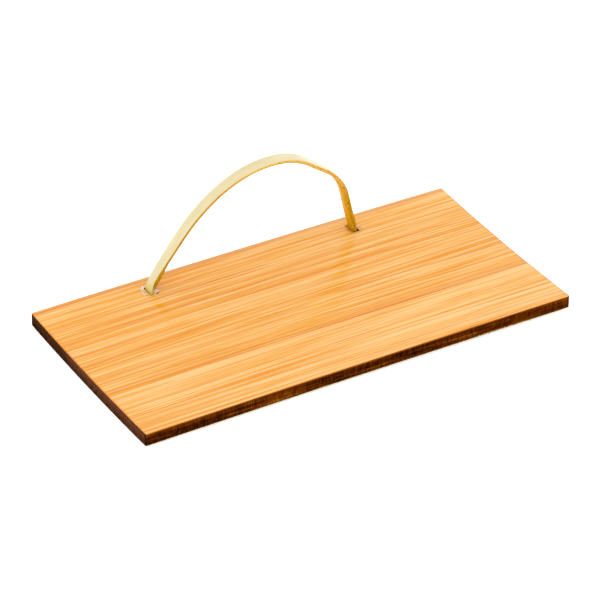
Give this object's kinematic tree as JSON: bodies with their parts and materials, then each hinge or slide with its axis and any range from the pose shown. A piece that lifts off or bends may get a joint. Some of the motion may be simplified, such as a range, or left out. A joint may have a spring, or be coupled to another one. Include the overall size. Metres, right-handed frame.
{
  "type": "bamboo plaque",
  "caption": "Small rectangular bamboo plaque of edge-glued strips with charred cut edges and a springy bent cane loop set in slots near its top edge.",
  "frame": {"origin": "middle of the board's back, the flat side away from the loop", "axes": "+X along the board's length and grain, +Y across it towards the long edge with the slots, which is the top edge when it hangs, +Z out of the face on which the loop stands"},
  "size_m": [0.1, 0.05, 0.0268],
  "materials": {
    "bamboo": "satin, side-pressed bamboo with charred laser-cut edges",
    "cane": "split cane, pale glossy outer skin and golden fibrous inner face",
    "glue": "clear glossy dried glue"
  },
  "bodies": {
    "board": {"bamboo_strip_01": "bamboo", "bamboo_strip_02": "bamboo", "bamboo_strip_03": "bamboo", "bamboo_strip_04": "bamboo", "bamboo_strip_05": "bamboo", "bamboo_strip_06": "bamboo", "strip_end_left": "cane", "strip_end_right": "cane", "glue_left": "glue", "glue_right": "glue"},
    "loop": {"loop_strip": "cane"}
  },
  "joints": [
    {"name": "loop_fold", "type": "hinge", "parent": "board", "child": "loop", "pos_m": [0, 0.0203, 0.0054], "axis": [1, 0, 0], "range_deg": [-75, 75], "stiffness_Nm_per_rad": 0.001}
  ]
}
